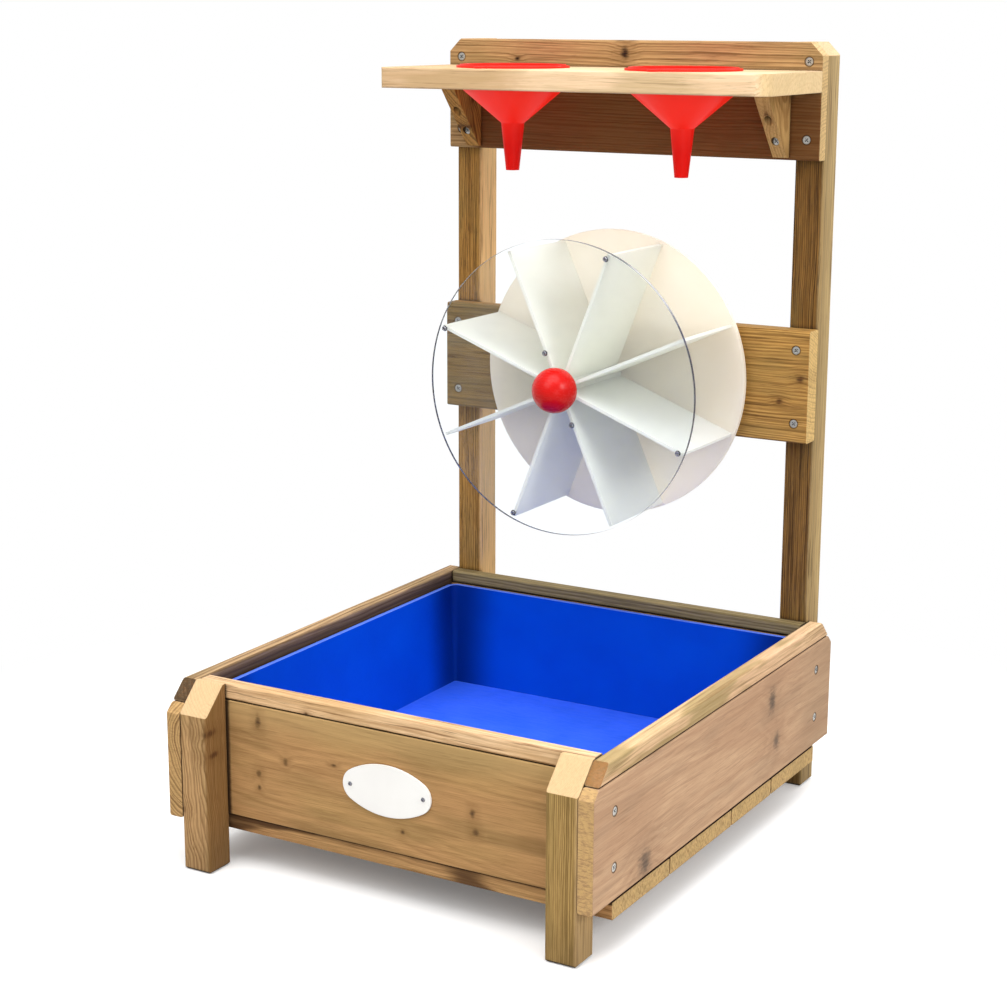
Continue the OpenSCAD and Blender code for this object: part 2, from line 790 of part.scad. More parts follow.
module rear_bush() {
  color("dimgray") bush(y_drum_r - (drum_d - bush_space) / 2, y_flange_r, y_drum_r, y_flange_r);
}
module vane(i) {
  color("white") difference() {
    translate([0, y_drum_f, axis_z]) rotate([0, -vane_angle(i), 0])
      translate([slot_r + slot_clear, 0, -vane_t / 2])
        cube([vane_r - slot_r - slot_clear, drum_d, vane_t]);
    place_front_disc() disc_screw_hole();
    place_rear_disc() disc_screw_hole();
  }
}
module vane_1() { vane(1); }
module vane_2() { vane(2); }
module vane_3() { vane(3); }
module vane_4() { vane(4); }
module vane_5() { vane(5); }
module vane_6() { vane(6); }
module vane_7() { vane(7); }
module vane_8() { vane(8); }
module front_disc_screws() { color("silver") place_front_disc() disc_screw(); }
module rear_disc_screws() { color("silver") place_rear_disc() disc_screw(); }

// Loose pieces

module funnel(x) {
  w = funnel_wall;
  slant = w * 0.5;
  low = -collar_h - cone_h;
  translate([x, shelf_y, shelf_top + rest_gap]) difference() {
    union() {
      rotate_extrude($fn = 96) polygon([
        [collar_r - w, rim_t + rim_up], [collar_r + rim_roll, rim_t + rim_up], [collar_r + rim_roll, rim_t],
        [rim_r, rim_t], [rim_r, 0], [collar_r, 0],
        [collar_r, -collar_h], [neck_r, low], [spout_r, low - spout_h],
        [spout_r - w, low - spout_h], [neck_r - w, low + slant],
        [collar_r - w, -collar_h + slant]
      ]);
      rotate(tab_turn) translate([tab_start, -tab_w / 2, 0]) cube([tab_eye - tab_start, tab_w, rim_t]);
      rotate(tab_turn) translate([tab_eye, 0, 0]) cylinder(h = rim_t, r = tab_w / 2);
    }
    rotate(tab_turn) translate([tab_eye, 0, -cut_over]) cylinder(h = rim_t + 2 * cut_over, r = tab_eye_r);
  }
}
module left_funnel() { color("red") funnel(-funnel_x); }
module right_funnel() { color("red") funnel(funnel_x); }

// Box with sloping sides and round corners: half sizes at the top, draught and height.
module sloped_box(hx, hy, r, draft, h) {
  cx = hx - r;
  cy = hy - r;
  translate([0, cy, 0]) rotate([90, 0, 0]) linear_extrude(2 * cy)
    polygon([[-hx + draft, 0], [hx - draft, 0], [hx, h], [-hx, h]]);
  translate([-cx, 0, 0]) rotate([90, 0, 90]) linear_extrude(2 * cx)
    polygon([[-hy + draft, 0], [hy - draft, 0], [hy, h], [-hy, h]]);
  for (sx = [-1, 1], sy = [-1, 1]) translate([sx * cx, sy * cy, 0])
    cylinder(h = h, r1 = r - draft, r2 = r, $fn = 64);
}
module tub() {
  color("blue") translate([0, 0, tub_z]) difference() {
    union() {
      sloped_box(tub_x, tub_y, tub_r, tub_draft, tub_h);
      translate([0, 0, tub_h - lip_t])
        sloped_box(tub_x + lip_w, tub_y + lip_w, tub_r + lip_w, 0, lip_t);
    }
    translate([0, 0, tub_floor])
      sloped_box(tub_x - tub_wall, tub_y - tub_wall, tub_r - tub_wall, tub_draft, tub_h);
  }
}

front_left_leg();
front_right_leg();
left_upright();
right_upright();
front_panel();
rear_panel();
left_side_board();
right_side_board();
front_rail();
rear_rail();
left_side_rail();
right_side_rail();
floor_slat_1();
floor_slat_2();
floor_slat_3();
floor_slat_4();
back_board();
wheel_board();
shelf();
left_bracket();
right_bracket();
oval_plate();
plate_pins();
rail_dowels();
side_board_screws();
leg_screws();
upright_screws();
slat_screws();
back_board_screws();
wheel_board_screws();
shelf_screws();
bracket_screws();
axle_bolt();
axle_nut();
axle_washers();
ball_knob();
front_disc();
rear_disc();
hub();
front_bush();
rear_bush();
vane_1();
vane_2();
vane_3();
vane_4();
vane_5();
vane_6();
vane_7();
vane_8();
front_disc_screws();
rear_disc_screws();
left_funnel();
right_funnel();
tub();
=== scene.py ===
"""Looks of the sand wheel toy: camera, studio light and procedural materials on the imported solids."""

import math

import bpy
from mathutils import Matrix, Vector


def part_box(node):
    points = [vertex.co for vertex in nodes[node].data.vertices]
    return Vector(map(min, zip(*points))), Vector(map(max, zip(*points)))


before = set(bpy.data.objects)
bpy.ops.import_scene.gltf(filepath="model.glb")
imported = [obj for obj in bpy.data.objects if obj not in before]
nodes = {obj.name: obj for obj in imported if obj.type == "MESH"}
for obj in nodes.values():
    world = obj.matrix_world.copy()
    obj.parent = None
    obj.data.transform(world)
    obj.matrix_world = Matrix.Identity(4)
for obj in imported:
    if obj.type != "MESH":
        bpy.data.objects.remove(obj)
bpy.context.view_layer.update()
scene = bpy.context.scene
scene.view_settings.view_transform = "Standard"


def srgb(r, g, b):
    """A linear colour from 0 to 255 display values."""
    def one(c):
        c = c / 255.0
        return c / 12.92 if c <= 0.04045 else ((c + 0.055) / 1.055) ** 2.4
    return (one(r), one(g), one(b), 1.0)


# Millimetres in a metre.
MM = 1000.0
# Sockets of the Mix node that carry the share and the two colours, and the mixed colour.
MIX_INPUTS = (0, 6, 7)
MIX_OUTPUT = 2


class Graph:
    """Adds nodes to one material's tree. A value is a number, a tuple or another node's output."""

    def __init__(self, name):
        self.mat = bpy.data.materials.new(name)
        self.mat.use_nodes = True
        self.tree = self.mat.node_tree
        self.tree.nodes.clear()
        self.out = self.add("ShaderNodeOutputMaterial")
        self.bsdf = self.add("ShaderNodeBsdfPrincipled")
        self.show(self.bsdf.outputs[0])

    def add(self, kind, **settings):
        node = self.tree.nodes.new(kind)
        for key, value in settings.items():
            setattr(node, key, value)
        return node

    def feed(self, socket, value):
        if isinstance(value, bpy.types.NodeSocket):
            self.tree.links.new(value, socket)
        else:
            socket.default_value = value

    def surface(self, **values):
        """Sets the Principled shader's sockets, named with _ for a space."""
        for key, value in values.items():
            self.feed(self.bsdf.inputs[key.replace("_", " ")], value)

    def math(self, op, a, b=0.0):
        node = self.add("ShaderNodeMath", operation=op)
        self.feed(node.inputs[0], a)
        self.feed(node.inputs[1], b)
        return node.outputs[0]

    def vector(self, op, a, b=(0.0, 0.0, 0.0)):
        node = self.add("ShaderNodeVectorMath", operation=op)
        self.feed(node.inputs[0], a)
        self.feed(node.inputs[1], b)
        return node.outputs["Value" if op in ("LENGTH", "DOT_PRODUCT") else "Vector"]

    def split(self, vector):
        node = self.add("ShaderNodeSeparateXYZ")
        self.feed(node.inputs[0], vector)
        return node.outputs

    def join(self, x, y, z):
        node = self.add("ShaderNodeCombineXYZ")
        for socket, value in zip(node.inputs, (x, y, z)):
            self.feed(socket, value)
        return node.outputs[0]

    def noise(self, vector, stretch, shift, detail=2.0, rough=0.5, out=0):
        """Noise with stretch cycles per unit on each axis, moved by shift. out: 0 for grey, 1 for colour."""
        where = self.vector("MULTIPLY", vector, stretch)
        where = self.vector("ADD", where, (shift, shift * 0.7, -shift * 1.3))
        node = self.add("ShaderNodeTexNoise")
        self.feed(node.inputs["Vector"], where)
        self.feed(node.inputs["Scale"], 1.0)
        self.feed(node.inputs["Detail"], detail)
        self.feed(node.inputs["Roughness"], rough)
        return node.outputs[out]

    def span(self, value, lo, hi, low=0.0, high=1.0):
        """A smooth step from low, where the value is lo, to high, where it is hi."""
        node = self.add("ShaderNodeMapRange", interpolation_type="SMOOTHSTEP")
        for i, v in enumerate((value, lo, hi, low, high)):
            self.feed(node.inputs[i], v)
        return node.outputs[0]

    def mix(self, share, a, b, blend="MIX"):
        """Mixes two colours."""
        node = self.add("ShaderNodeMix", data_type="RGBA", blend_type=blend)
        for socket, value in zip(MIX_INPUTS, (share, a, b)):
            self.feed(node.inputs[socket], value)
        return node.outputs[MIX_OUTPUT]

    def blend(self, share, first, second):
        """Mixes two shaders."""
        node = self.add("ShaderNodeMixShader")
        for socket, value in zip(node.inputs, (share, first, second)):
            self.feed(socket, value)
        return node.outputs[0]

    def colour(self):
        """The output that now feeds the base colour."""
        return self.bsdf.inputs["Base Color"].links[0].from_socket

    def show(self, shader):
        """Makes a shader the material's surface."""
        self.feed(self.out.inputs["Surface"], shader)

    def bump(self, height, strength, distance, normal):
        node = self.add("ShaderNodeBump")
        self.feed(node.inputs["Strength"], strength)
        self.feed(node.inputs["Distance"], distance)
        self.feed(node.inputs["Height"], height)
        self.feed(node.inputs["Normal"], normal)
        return node.outputs[0]

    def place(self):
        """Object coordinates in millimetres."""
        coordinates = self.add("ShaderNodeTexCoord")
        return self.vector("MULTIPLY", coordinates.outputs["Object"], (MM, MM, MM))

    def normal(self):
        return self.add("ShaderNodeTexCoord").outputs["Normal"]

    def joint(self, reach):
        """1 deep in a joint or corner, 0 in the open."""
        hidden = self.add("ShaderNodeAmbientOcclusion", samples=8)
        self.feed(hidden.inputs["Distance"], reach)
        return self.span(hidden.outputs["AO"], 0.80, 0.25)

    def see_through(self, colour, share):
        """Lets a share of the light come through from the far side."""
        glow = self.add("ShaderNodeBsdfTranslucent")
        self.feed(glow.inputs["Color"], colour)
        self.show(self.blend(share, self.bsdf.outputs[0], glow.outputs[0]))
        return self.mat

    def edge(self, radius):
        """1 on an edge, 0 on a flat: how far the rounded normal leaves the face's own."""
        bevel = self.add("ShaderNodeBevel", samples=6)
        self.feed(bevel.inputs["Radius"], radius)
        own = self.add("ShaderNodeNewGeometry").outputs["Normal"]
        along = self.vector("DOT_PRODUCT", bevel.outputs[0], own)
        return self.span(along, 0.995, 0.80), bevel.outputs[0]


def dress(names, material):
    """Puts one material on whole solids."""
    for name in names:
        slots = nodes[name].material_slots
        if not slots:
            nodes[name].data.materials.append(material)
        for slot in slots:
            slot.material = material


# Order of the row frame's axes in a board's own (along, across, across) frame.
ORDER = {"X": (0, 1, 2), "Y": (1, 2, 0), "Z": (2, 0, 1)}
# Noise cycles per millimetre, along and across the grain.
FIBRE_GRID = (0.035, 1.5, 1.5)
RAGGED_GRID = (0.12, 0.25, 0.25)
FLECK_GRID = (0.06, 0.9, 0.9)
STREAK_GRID = (0.006, 0.30, 0.30)
PATCH_GRID = (0.008, 0.045, 0.045)
ZONE_GRID = (0.0045, 0.016, 0.016)
LINE_GRID = (0.008, 0.34, 0.34)
SAWN_GRID = (0.4, 0.7, 0.2)
BEND_ACROSS = 0.022
# Tones that all boards share.
KNOT_DARK = srgb(48, 28, 14)
KNOT_MID = srgb(98, 60, 30)
HEART_FLECK = srgb(92, 70, 44)
FLECK_BROWN = srgb(70, 46, 24)
LINE_BROWN = srgb(64, 42, 22)
SAWN_BROWN = srgb(60, 36, 16)
# Painted shade round the screw heads.
SCREW_RING_SHADE = srgb(40, 26, 14)
# Painted shade, with some grime, in joints and hollows.
JOINT_GRIME_AND_SHADE = srgb(34, 20, 10)
# Painted shade in narrow gaps between parts.
GAP_SHADE = srgb(38, 22, 10)
# Distances from a screw's centre, in millimetres, where its dark ring ends and is full.
RING_END, RING_FULL = 5.6, 4.4
# Radius of the rounding that finds the lightened edges, partly rubbed and partly painted highlight.
EDGE_WEAR_AND_SHEEN_RADIUS = 0.0016


def turned(point, along):
    """A point in the board's own order of axes."""
    return tuple(point[i] for i in ORDER[along])


def timber(name, along, light, dark, ring=3.6, pith=(60.0, 20.0), slope=(0.01, 0.02), wave=5.0,
           contrast=0.6, swing=0.006, streak=0.45, lines=0.3, stain=None, blotch=(0.44, 0.68), tint=None,
           heart=None, end=None, speckle=0.4, rings=0.3, knots=(), face=None,
           knot_tone=(KNOT_DARK, KNOT_MID), knot_share=0.85, fades=(), screws=(), grime_and_shade_reach=0.008, seed=1.0):
    """A sawn board as solid wood: year rings round a pith line, so each face and end shows its own cut.

    ring is the rings' spacing, pith the pith's place across the board, slope its lean along the board,
    wave and swing how far and how often the grain sways, and contrast the share of the late wood's tone.
    streak and lines are the shares of the broad and of the thin dark lines along the grain.
    stain and tint are a colour and a share, in blotches and in broad zones; blotch is the stain's soft edge.
    heart is the radius and the colour of the darker wood near the pith.
    end, speckle and rings are the colour, the roughness and the ring lines of the sawn ends.
    knots are (x, y, z, radius, height share) in row-frame millimetres, and face is the axis that they run
    along. knot_tone is their darkest and their middle tone, and knot_share how much of it shows.
    fades are an axis, two places, a colour and a share each: clear at the first place, coloured at the
    second. A fade on one part only ends with the limits of that part, each an axis and its two places.
    screws are the places of the heads on the face, which each have a ring of painted shade round them.
    grime_and_shade_reach is how far the dark of a joint reaches, in metres, partly grime and partly painted
    shade, and seed moves all the noise.
    """
    g = Graph("timber_" + name)
    lo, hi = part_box(name)
    centre = [MM * (a + b) / 2 for a, b in zip(lo, hi)]
    xyz = g.split(g.place())
    spot = g.join(*turned(xyz, along))
    spot = g.vector("SUBTRACT", spot, turned(centre, along))
    u = g.split(spot)[0]
    fibre = g.noise(spot, FIBRE_GRID, seed + 1.0, 3.0, 0.65)

    bend = g.noise(spot, (swing, BEND_ACROSS, BEND_ACROSS), seed, 2.0, 0.45, out=1)
    bend = g.vector("MULTIPLY", g.vector("SUBTRACT", bend, (0.5, 0.5, 0.5)), (0.0, 2 * wave, 2 * wave))
    lean = g.join(0.0, g.math("MULTIPLY", u, slope[0]), g.math("MULTIPLY", u, slope[1]))
    rays = g.vector("SUBTRACT", spot, (0.0, pith[0], pith[1]))
    rays = g.vector("ADD", g.vector("ADD", rays, bend), lean)
    across = g.vector("LENGTH", g.vector("MULTIPLY", rays, (0.0, 1.0, 1.0)))
    across = g.math("ADD", across, g.math("MULTIPLY", fibre, 1.4))
    inner = g.span(across, heart[0] + 4.0, heart[0] - 4.0) if heart else None

    rag = g.math("SUBTRACT", g.noise(spot, RAGGED_GRID, seed + 3.0, 3.0, 0.6), 0.5)
    core, halo = 0.0, 0.0
    for x, y, z, radius, tall in knots:
        knot = turned([p - c for p, c in zip((x, y, z), centre)], along)
        weights = [0.8, 1.0 / tall, 1.0 / tall]
        if face:
            weights[ORDER[along].index("XYZ".index(face))] = 0.06
        off = g.vector("MULTIPLY", g.vector("SUBTRACT", spot, knot), tuple(weights))
        gap = g.math("ADD", g.vector("LENGTH", off), g.math("MULTIPLY", rag, 1.5 * radius))
        core = g.math("MAXIMUM", core, g.span(gap, 1.3 * radius, 0.1 * radius))
        swirl = g.span(gap, 4.0 * radius, 0.4 * radius)
        halo = g.math("MAXIMUM", halo, swirl)
        across = g.math("ADD", across, g.math("MULTIPLY", swirl, 0.8 * radius))

    uneven = g.noise(g.join(0.0, across, 0.0), (1.0, 0.11, 1.0), seed + 5.0, 1.0)
    turns = g.math("ADD", g.math("DIVIDE", across, ring), g.math("MULTIPLY", uneven, 2.4))
    phase = g.math("FRACT", turns)
    late = g.math("MULTIPLY", g.span(phase, 0.2, 0.82), g.span(phase, 1.0, 0.86))
    year = g.noise(g.join(0.0, g.math("FLOOR", turns), 0.0), (1.0, 1.37, 1.0), seed + 9.0, 0.0)
    late = g.math("MULTIPLY", late, g.span(year, 0.25, 0.7, 0.45, 1.0))

    flecks = g.noise(spot, FLECK_GRID, seed + 2.0, 3.0, 0.7)
    streaks = g.noise(spot, STREAK_GRID, seed + 11.0, 4.0, 0.62)
    patch = g.noise(spot, PATCH_GRID, seed + 7.0, 2.0, 0.5)
    zone = g.noise(spot, ZONE_GRID, seed + 13.0, 2.0, 0.5)
    thin = g.noise(g.vector("ADD", spot, bend), LINE_GRID, seed + 15.0, 3.0, 0.65)

    colour = g.mix(g.math("MULTIPLY", late, contrast), light, dark)
    if tint:
        colour = g.mix(g.span(zone, 0.42, 0.60, 0.0, tint[1]), colour, tint[0])
    colour = g.mix(g.span(streaks, 0.48, 0.72, 0.0, streak), colour, dark)
    colour = g.mix(g.span(streaks, 0.50, 0.28, 0.0, 0.7 * streak), colour, light)
    colour = g.mix(g.span(fibre, 0.3, 0.75, 0.0, 0.4), colour, dark)
    if heart:
        speckled = g.mix(g.span(flecks, 0.52, 0.66, 0.0, 0.7), heart[1], HEART_FLECK)
        colour = g.mix(g.math("MULTIPLY", inner, 0.85), colour, g.mix(1.0, colour, speckled, "MULTIPLY"))
    colour = g.mix(g.span(flecks, 0.58, 0.78, 0.0, 0.45 * contrast + 0.15), colour, FLECK_BROWN)
    if stain:
        colour = g.mix(g.span(patch, blotch[0], blotch[1], 0.0, stain[1]), colour, stain[0])
    for axis, clear, full, shade, share, *side in fades:
        ragged = g.math("ADD", xyz["XYZ".index(axis)], g.math("MULTIPLY", rag, 0.4 * abs(full - clear)))
        amount = g.span(ragged, clear, full, 0.0, share)
        for limit, off_at, on_at in side:
            amount = g.math("MULTIPLY", amount, g.span(xyz["XYZ".index(limit)], off_at, on_at))
        colour = g.mix(amount, colour, shade)
    colour = g.mix(g.span(thin, 0.54, 0.66, 0.0, lines), colour, g.mix(0.5, dark, LINE_BROWN))

    flat = g.math("ABSOLUTE", g.split(g.normal())["XYZ".index(along)])
    cut = g.span(flat, 0.25, 0.75)
    speck = g.noise(spot, SAWN_GRID, seed + 4.0, 4.0, 0.7)
    sawn = g.mix(g.span(speck, 0.46, 0.62, 0.0, speckle), end or light, g.mix(0.4, dark, SAWN_BROWN))
    sawn = g.mix(g.math("MULTIPLY", late, rings), sawn, dark)
    colour = g.mix(g.math("MULTIPLY", cut, 0.85), colour, sawn)

    if knots:
        colour = g.mix(g.math("MULTIPLY", halo, 0.35 * knot_share), colour, g.mix(0.3, dark, knot_tone[1]))
        knot_rings = g.math("SINE", g.math("MULTIPLY", across, 2.6))
        hard = g.mix(g.span(knot_rings, -1.0, 1.0), knot_tone[0], knot_tone[1])
        colour = g.mix(g.math("MULTIPLY", core, knot_share), colour, hard)
    # A ring of painted shade round each screw head.
    for place in screws:
        off = g.vector("SUBTRACT", spot, turned([p - c for p, c in zip(place, centre)], along))
        sunk = g.vector("LENGTH", off)
        colour = g.mix(g.span(sunk, RING_END, RING_FULL, 0.0, 0.85), colour, SCREW_RING_SHADE)
    edge_wear_and_sheen, rounded = g.edge(EDGE_WEAR_AND_SHEEN_RADIUS)
    # Edges lighter: partly rubbed, partly a painted highlight.
    colour = g.mix(g.math("MULTIPLY", edge_wear_and_sheen, g.span(patch, 0.35, 0.65, 0.1, 0.5)), colour, light)
    # Painted shade, with some grime, where the occlusion mask finds a joint or hollow.
    colour = g.mix(g.math("MULTIPLY", g.joint(grime_and_shade_reach), 0.92), colour, JOINT_GRIME_AND_SHADE)

    relief = g.math("ADD", g.math("MULTIPLY", late, 0.5), g.math("MULTIPLY", fibre, 0.9))
    relief = g.math("SUBTRACT", relief, g.math("MULTIPLY", core, 0.4))
    relief = g.math("ADD", relief, g.math("MULTIPLY", g.math("MULTIPLY", speck, cut), 1.2))
    g.surface(Base_Color=colour, Normal=g.bump(relief, 0.35, 0.0005, rounded), Specular_IOR_Level=0.15,
              Roughness=g.span(fibre, 0.25, 0.8, 0.6, 0.8))
    dress([name], g.mat)


PANEL_KNOTS = [
    (-143, -233, 149, 2.8, 2.4), (-143, -233, 98, 2.4, 1.6), (-143, -233, 84, 2.0, 1.6),
    (-112, -233, 115, 2.4, 1.6), (-58, -233, 122, 2.6, 0.7), (16, -233, 73, 2.2, 1.2),
    (89, -233, 106, 2.4, 1.8), (92, -233, 89, 2.8, 1.4),
]
SIDE_KNOTS = [(225, 111, 133, 7.5, 2.0), (225, 125, 87, 7.0, 1.4), (225, -166, 64, 10.5, 1.4)]
BACK_SCREWS = [(x, 218, z) for x in (-196, 196) for z in (669, 743.5)]
WHEEL_SCREWS = [(x, 211, z) for x in (-196, 196) for z in (389.5, 463.5)]
SIDE_SCREWS = [(225, y, z) for y in (-225.5, 225.5) for z in (82, 133)]
OLIVE = srgb(126, 112, 66)
MOSS = srgb(110, 92, 52)
GREY = srgb(136, 118, 98)
FADED = (srgb(70, 50, 32), srgb(104, 76, 46))
SMUDGE = (srgb(82, 70, 62), srgb(98, 84, 72))

timber("front_panel", "X", light=srgb(198, 154, 103), dark=srgb(122, 85, 48), ring=6.0,
       pith=(48.0, -10.0), slope=(0.02, 0.05), wave=9.0, contrast=0.4, streak=0.25, lines=0.2,
       stain=(MOSS, 0.35), tint=(srgb(188, 154, 98), 0.5), end=srgb(214, 176, 120), knots=PANEL_KNOTS,
       face="Y", knot_tone=FADED,
       # The second fade is painted shade in the gap beside the front left leg.
       fades=[("Z", 132.0, 160.0, srgb(190, 160, 108), 0.55), ("X", -174.5, -178.0, GAP_SHADE, 0.9)],
       grime_and_shade_reach=0.005, seed=2.0)
timber("rear_panel", "X", light=srgb(196, 150, 98), dark=srgb(140, 96, 54), ring=5.0, pith=(-50.0, 14.0),
       slope=(0.02, 0.04), wave=8.0, contrast=0.45, stain=(OLIVE, 0.4), tint=(srgb(184, 154, 94), 0.5),
       end=srgb(214, 176, 120), knots=[(60, 233, 100, 4.0, 1.4), (-90, 233, 130, 3.0, 1.0)], face="Y",
       seed=4.0)
timber("right_side_board", "Y", light=srgb(206, 170, 136), dark=srgb(156, 118, 90), ring=6.5,
       pith=(-8.0, -52.0), slope=(0.04, 0.02), wave=9.0, contrast=0.35, streak=0.3, lines=0.25,
       stain=(GREY, 0.2), tint=(srgb(178, 140, 110), 0.55), end=srgb(204, 168, 110), speckle=0.6,
       knots=SIDE_KNOTS, face="X", knot_tone=SMUDGE,
       fades=[("Y", 130.0, 240.0, srgb(150, 124, 98), 0.35)], screws=SIDE_SCREWS, seed=6.0)
timber("left_side_board", "Y", light=srgb(206, 162, 116), dark=srgb(104, 70, 40), ring=3.4,
       pith=(10.0, 50.0), slope=(0.03, 0.02), wave=8.0, contrast=0.6, stain=(OLIVE, 0.4),
       end=srgb(202, 164, 108), speckle=0.25, rings=0.8,
       knots=[(-225, 40, 96, 4.0, 1.4), (-225, -130, 120, 3.0, 1.2)], face="X", seed=8.0)
timber("back_board", "X", light=srgb(196, 158, 110), dark=srgb(112, 80, 44), ring=3.2,
       pith=(34.0, -150.0), slope=(0.0, 0.015), wave=4.0, contrast=0.7, streak=0.6, lines=0.5,
       stain=(OLIVE, 0.25), end=srgb(222, 188, 130),
       knots=[(-3, 218, 749, 4.6, 1.5), (-128, 218, 742, 3.0, 0.8)], face="Y",
       knot_tone=(srgb(22, 12, 8), srgb(58, 32, 16)), knot_share=1.0,
       # Painted shade of the shelf, reddened by painted bounce light from the funnels, on the front face
       # below the shelf, clear of the left end.
       fades=[("Z", 728.0, 704.0, srgb(94, 46, 0), 0.77, ("Y", 228.0, 221.0), ("X", -192.0, -172.0))],
       screws=BACK_SCREWS, seed=10.0)
timber("wheel_board", "X", light=srgb(206, 160, 88), dark=srgb(92, 58, 20), ring=3.0, pith=(60.0, 160.0),
       slope=(0.0, -0.012), wave=5.0, contrast=0.85, streak=0.6, lines=0.6, stain=(OLIVE, 0.3),
       tint=(srgb(190, 140, 70), 0.4), end=srgb(230, 194, 128),
       knots=[(202, 211, 435, 3.6, 1.2), (180, 211, 411, 3.2, 1.0), (-120, 211, 400, 3.0, 1.0)], face="Y",
       # Painted shadow of the wheel on the left part of the front face.
       fades=[("X", -40.0, -140.0, srgb(104, 92, 60), 0.6, ("Y", 226.0, 214.0))], screws=WHEEL_SCREWS,
       seed=12.0)
timber("shelf", "X", light=srgb(246, 216, 178), dark=srgb(202, 162, 114), ring=5.0, pith=(30.0, -60.0),
       slope=(0.01, 0.01), wave=6.0, contrast=0.4, streak=0.4, lines=0.5,
       stain=(srgb(180, 156, 108), 0.45), blotch=(0.48, 0.62), end=srgb(226, 198, 148), speckle=0.3,
       rings=0.2, knots=[(-30, 110, 735, 3.0, 1.0)], face="Z",
       fades=[("X", -30.0, -75.0, srgb(190, 152, 106), 0.55)], seed=14.0)
timber("left_bracket", "Z", light=srgb(200, 150, 80), dark=srgb(84, 50, 20), ring=3.8, pith=(26.0, -30.0),
       slope=(0.3, 0.5), wave=6.0, contrast=0.85, stain=(OLIVE, 0.3), rings=0.7,
       knots=[(-170, 200, 700, 3.4, 1.0), (-170, 196, 672, 3.0, 1.0)], face="X", seed=16.0)
timber("right_bracket", "Z", light=srgb(208, 168, 108), dark=srgb(132, 90, 46), ring=3.4,
       pith=(40.0, 16.0), slope=(0.1, 0.2), wave=5.0, contrast=0.6, stain=(OLIVE, 0.25), rings=0.5,
       knots=[(171, 190, 694, 3.4, 1.0)], face="Y", seed=18.0)

LEG_KNOTS = [(-210, -262, 60, 4.0, 1.2), (-179, -258, 138, 3.2, 3.0), (-179, -254, 116, 2.8, 3.0)]
FOOT = ("Z", 60.0, 6.0, srgb(92, 70, 44), 0.3)
POST = {"swing": 0.012, "stain": (OLIVE, 0.25), "end": srgb(228, 194, 148), "speckle": 0.12, "rings": 0.08}
timber("front_left_leg", "Z", light=srgb(208, 168, 118), dark=srgb(112, 76, 40), ring=2.3,
       pith=(30.0, 34.0), slope=(0.02, 0.04), wave=9.0, contrast=0.75, streak=0.35, lines=0.35,
       knots=LEG_KNOTS, fades=[("X", -183.0, -180.0, srgb(108, 72, 28), 0.7), FOOT], seed=20.0, **POST)
timber("front_right_leg", "Z", light=srgb(192, 158, 98), dark=srgb(92, 66, 26), ring=1.5,
       pith=(-60.0, 30.0), slope=(0.004, 0.005), wave=1.6, contrast=0.7, streak=0.6, lines=0.4,
       # Painted light: the first fade makes the right face lighter than the rest of the leg.
       fades=[("X", 206.0, 209.5, srgb(200, 168, 124), 0.5), FOOT], seed=22.0, **POST)
timber("left_upright", "Z", light=srgb(240, 200, 140), dark=srgb(104, 74, 34), ring=2.0,
       pith=(-70.0, -40.0), slope=(0.002, 0.003), wave=2.4, contrast=0.9, streak=0.75, lines=0.5,
       # Painted light: the first fade makes the right face lighter than the rest of the post.
       heart=(90.0, srgb(206, 180, 116)), fades=[("X", -184.0, -180.0, srgb(238, 196, 138), 0.8), FOOT],
       seed=24.0, **POST)
timber("right_upright", "Z", light=srgb(218, 186, 130), dark=srgb(62, 40, 12), ring=2.0,
       pith=(-70.0, -36.0), slope=(0.002, 0.003), wave=2.4, contrast=0.9, streak=0.85, lines=0.6,
       # Painted light: the first fade makes the right face lighter than the rest of the post.
       heart=(94.0, srgb(156, 120, 36)), fades=[("X", 206.0, 209.5, srgb(186, 160, 112), 0.6), FOOT],
       seed=26.0, **POST)
timber("front_rail", "X", light=srgb(246, 212, 168), dark=srgb(150, 104, 60), ring=4.0, pith=(26.0, 30.0),
       slope=(0.01, 0.02), wave=4.0, contrast=0.5, lines=0.7, stain=(srgb(176, 136, 82), 0.4),
       tint=(srgb(236, 190, 136), 0.4), knots=[(-88, -233, 166, 2.8, 0.8)], face="Y", grime_and_shade_reach=0.005,
       seed=30.0)
timber("rear_rail", "X", light=srgb(154, 136, 96), dark=srgb(88, 74, 44), ring=3.2, pith=(-24.0, 40.0),
       slope=(0.01, 0.01), wave=4.0, contrast=0.7, streak=0.6, lines=0.5, stain=(OLIVE, 0.2), seed=32.0)
timber("left_side_rail", "Y", light=srgb(206, 172, 130), dark=srgb(96, 66, 36), ring=3.4,
       pith=(30.0, 30.0), slope=(0.01, 0.01), wave=4.0, contrast=0.7, streak=0.6, lines=0.5,
       stain=(OLIVE, 0.3), end=srgb(36, 26, 16), speckle=0.9,
       # Painted shade on the inner face, deepest towards its bottom edge above the tub.
       fades=[("X", -212.0, -210.3, srgb(58, 42, 34), 0.85, ("Z", 186.0, 170.0))], seed=34.0)
timber("right_side_rail", "Y", light=srgb(232, 200, 156), dark=srgb(150, 112, 66), ring=4.0,
       pith=(-34.0, 24.0), slope=(0.01, 0.02), wave=4.0, contrast=0.45, streak=0.4, lines=0.45,
       stain=(srgb(140, 124, 72), 0.6), blotch=(0.46, 0.58), tint=(srgb(226, 184, 150), 0.6),
       # Painted shade on the inner face.
       end=srgb(150, 102, 56), speckle=0.9, fades=[("X", 213.5, 210.2, srgb(112, 96, 84), 0.5)],
       seed=36.0)
